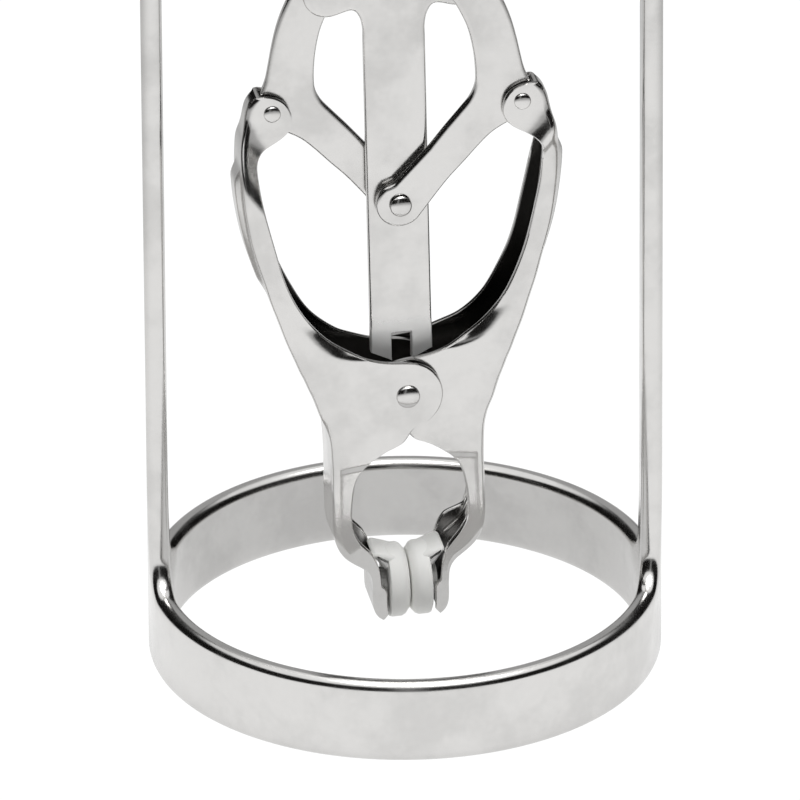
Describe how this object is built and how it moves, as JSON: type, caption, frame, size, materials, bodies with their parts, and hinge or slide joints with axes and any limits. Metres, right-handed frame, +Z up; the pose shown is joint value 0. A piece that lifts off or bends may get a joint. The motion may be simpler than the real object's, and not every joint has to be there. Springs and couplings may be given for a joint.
{
  "type": "clover clamp in pulling frame",
  "caption": "Polished steel toggle clamp with rubber-padded jaws, hung from a swivelling screw inside a ring-footed frame whose knurled nut draws the clamp upwards.",
  "frame": {"origin": "centre of the foot ring, on the plane it stands on", "axes": "+Z up along the lifting screw, +X from the left post to the right post, -Y towards the viewer"},
  "size_m": [0.058, 0.058, 0.133],
  "materials": {
    "polished_steel": "mirror-polished stainless steel with faint handling marks",
    "white_rubber": "satin white rubber"
  },
  "bodies": {
    "frame": {"base_ring": "polished_steel", "left_post": "polished_steel", "right_post": "polished_steel", "top_bridge": "polished_steel", "thrust_washer": "polished_steel"},
    "nut": {"thumb_nut": "polished_steel"},
    "screw": {"draw_screw": "polished_steel"},
    "yoke": {"swivel_yoke": "polished_steel", "yoke_pin": "polished_steel", "front_spacer": "polished_steel", "rear_spacer": "polished_steel"},
    "bar": {"pull_bar": "polished_steel", "centre_rivet": "polished_steel"},
    "right_link": {"right_link": "polished_steel"},
    "left_link": {"left_link": "polished_steel"},
    "right_arm": {"right_arm": "polished_steel", "right_arm_rivet": "polished_steel", "right_pad": "white_rubber", "rear_spring": "polished_steel"},
    "left_arm": {"left_arm": "polished_steel", "left_arm_rivet": "polished_steel", "left_pad": "white_rubber", "front_spring": "polished_steel", "main_rivet": "polished_steel"}
  },
  "joints": [
    {"name": "nut_turn", "type": "hinge", "parent": "frame", "child": "nut", "pos_m": [0, 0, 0.1249], "axis": [0, 0, -1], "range_deg": [0, 6305]},
    {"name": "screw_lift", "type": "slide", "parent": "frame", "child": "screw", "axis": [0, 0, 1], "range_m": [0, 0.014]},
    {"name": "yoke_swivel", "type": "hinge", "parent": "screw", "child": "yoke", "pos_m": [0, 0, 0.1008], "axis": [0, 0, 1], "continuous": true},
    {"name": "bar_swing", "type": "hinge", "parent": "yoke", "child": "bar", "pos_m": [0, 0, 0.092], "axis": [0.1564, -0.9877, 0], "range_deg": [-8, 8]},
    {"name": "right_link_turn", "type": "hinge", "parent": "bar", "child": "right_link", "pos_m": [-0.00056, -0.00009, 0.05619], "axis": [0.1564, -0.9877, 0], "range_deg": [0, 18], "stiffness_Nm_per_rad": 0.03, "springref_deg": -28.65},
    {"name": "left_link_turn", "type": "hinge", "parent": "bar", "child": "left_link", "pos_m": [-0.00056, -0.00009, 0.05619], "axis": [0.1564, -0.9877, 0], "range_deg": [-18.5, 0.5]},
    {"name": "right_arm_turn", "type": "hinge", "parent": "right_link", "child": "right_arm", "pos_m": [0.01298, 0.00206, 0.06821], "axis": [0.1564, -0.9877, 0], "range_deg": [-11.5, 0.5]},
    {"name": "left_arm_turn", "type": "hinge", "parent": "left_link", "child": "left_arm", "pos_m": [-0.01448, -0.00229, 0.06776], "axis": [0.1564, -0.9877, 0], "range_deg": [-0.5, 11.5]}
  ],
  "couplings": [
    {"joint": "nut_turn", "follows": "screw_lift", "rad_per_m": 7854},
    {"joint": "left_link_turn", "follows": "right_link_turn", "ratio": -1},
    {"joint": "right_arm_turn", "follows": "right_link_turn", "ratio": -0.618},
    {"joint": "left_arm_turn", "follows": "right_link_turn", "ratio": 0.618}
  ]
}
